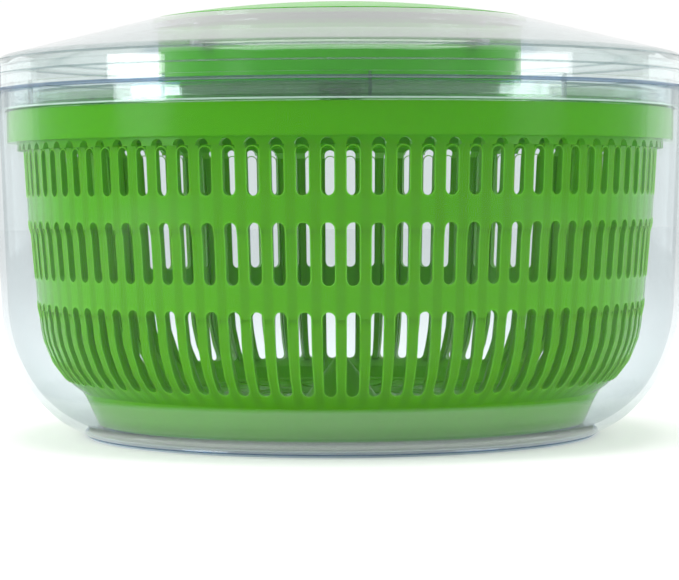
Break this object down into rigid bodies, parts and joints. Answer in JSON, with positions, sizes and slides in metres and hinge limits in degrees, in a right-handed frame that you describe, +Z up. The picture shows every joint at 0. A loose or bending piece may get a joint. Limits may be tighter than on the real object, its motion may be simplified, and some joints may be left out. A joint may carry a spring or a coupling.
{
  "type": "salad spinner",
  "caption": "Round salad spinner: clear bowl, slotted green basket, clear domed lid with a geared crank cap, fold-down grip and centre brake button.",
  "frame": {"origin": "centre of the foot's contact plane, on the drive axis", "axes": "+Z up along the drive axis; -Y is the front; +X to the right seen from the front"},
  "size_m": [0.26, 0.26, 0.1618],
  "materials": {
    "clear_bowl": "clear gloss plastic",
    "ring_rubber": "satin",
    "basket_green": "gloss",
    "pivot_white": "satin",
    "clear_lid": "clear gloss plastic",
    "housing_green": "gloss",
    "screw_steel": "bright",
    "axle_steel": "bright",
    "washer_steel": "bright",
    "clip_steel": "bright",
    "bush_plastic": "satin",
    "gear_white": "satin",
    "sun_white": "satin",
    "ring_white": "satin",
    "cap_green": "gloss",
    "pin_steel": "bright",
    "grip_green": "gloss",
    "button_white": "gloss",
    "pad_rubber": "matte",
    "spring_steel": "bright",
    "hub_plastic": "satin",
    "clear_cover": "clear gloss plastic"
  },
  "bodies": {
    "bowl": {"bowl": "clear_bowl", "non_slip_ring": "ring_rubber"},
    "basket": {"basket": "basket_green", "pivot_cup": "pivot_white"},
    "lid": {"lid_shell": "clear_lid", "gear_housing": "housing_green", "housing_screws": "screw_steel", "planet_axles": "axle_steel", "axle_washers": "washer_steel", "axle_clips": "clip_steel", "shaft_bush": "bush_plastic"},
    "crank": {"crank_cap": "cap_green", "ring_gear": "ring_white", "ring_gear_screws": "screw_steel", "grip_pin": "pin_steel", "brake_spring": "spring_steel"},
    "grip": {"crank_grip": "grip_green"},
    "brake": {"brake_button": "button_white", "brake_clip": "clip_steel", "brake_pad": "pad_rubber"},
    "planet_1": {"planet_gear_1": "gear_white"},
    "planet_2": {"planet_gear_2": "gear_white"},
    "planet_3": {"planet_gear_3": "gear_white"},
    "drive": {"sun_gear": "sun_white", "drive_hub": "hub_plastic", "hub_screw": "screw_steel", "spin_cover": "clear_cover"}
  },
  "joints": [
    {"name": "basket_spin", "type": "hinge", "parent": "bowl", "child": "basket", "pos_m": [0, 0, 0.019], "axis": [0, 0, 1], "continuous": true},
    {"name": "lid_lift", "type": "slide", "parent": "bowl", "child": "lid", "axis": [0, 0, 1], "range_m": [0, 0.16]},
    {"name": "cover_spin", "type": "hinge", "parent": "lid", "child": "drive", "pos_m": [0, 0, 0.141], "axis": [0, 0, 1], "continuous": true},
    {"name": "crank_spin", "type": "hinge", "parent": "lid", "child": "crank", "pos_m": [0, 0, 0.153], "axis": [0, 0, 1], "continuous": true},
    {"name": "planet_1_spin", "type": "hinge", "parent": "lid", "child": "planet_1", "pos_m": [0, 0.036, 0.141], "axis": [0, 0, 1], "continuous": true},
    {"name": "planet_2_spin", "type": "hinge", "parent": "lid", "child": "planet_2", "pos_m": [-0.03118, -0.018, 0.141], "axis": [0, 0, 1], "continuous": true},
    {"name": "planet_3_spin", "type": "hinge", "parent": "lid", "child": "planet_3", "pos_m": [0.03118, -0.018, 0.141], "axis": [0, 0, 1], "continuous": true},
    {"name": "grip_fold", "type": "hinge", "parent": "crank", "child": "grip", "pos_m": [0.052, 0, 0.1548], "axis": [0, 1, 0], "range_deg": [0, 90]},
    {"name": "brake_press", "type": "slide", "parent": "crank", "child": "brake", "axis": [0, 0, -1], "range_m": [0, 0.0025], "stiffness_N_per_m": 300, "springref_m": -0.001, "deforming": ["brake_spring"]}
  ],
  "couplings": [
    {"joint": "cover_spin", "follows": "basket_spin", "ratio": 1},
    {"joint": "crank_spin", "follows": "basket_spin", "ratio": -0.33333},
    {"joint": "planet_1_spin", "follows": "basket_spin", "ratio": -1},
    {"joint": "planet_2_spin", "follows": "basket_spin", "ratio": -1},
    {"joint": "planet_3_spin", "follows": "basket_spin", "ratio": -1}
  ]
}
